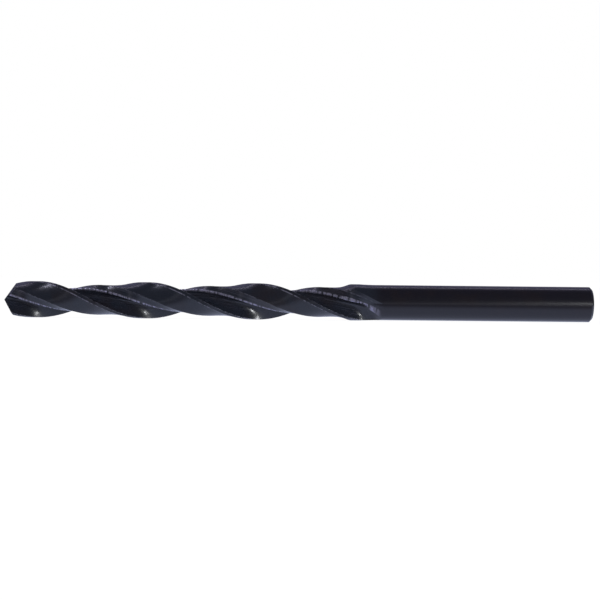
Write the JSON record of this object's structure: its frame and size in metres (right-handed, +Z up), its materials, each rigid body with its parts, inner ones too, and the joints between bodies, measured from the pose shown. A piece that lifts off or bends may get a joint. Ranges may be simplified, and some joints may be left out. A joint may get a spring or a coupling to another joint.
{
  "type": "twist drill bit",
  "caption": "Right-hand twist drill bit with helical flutes, ground 118 degree point, narrow margins and a plain straight shank for a chuck.",
  "frame": {"origin": "centre of the flat end of the shank, on the axis of the drill", "axes": "+X along the axis of the drill, from the point towards the end of the shank; +Z up as the drill lies on its side"},
  "size_m": [0.1004, 0.0062, 0.0062],
  "materials": {
    "black_oxide_steel": "black oxide on high-speed steel, semi-gloss"
  },
  "bodies": {
    "root": {"drill_bit": "black_oxide_steel"}
  },
  "joints": []
}
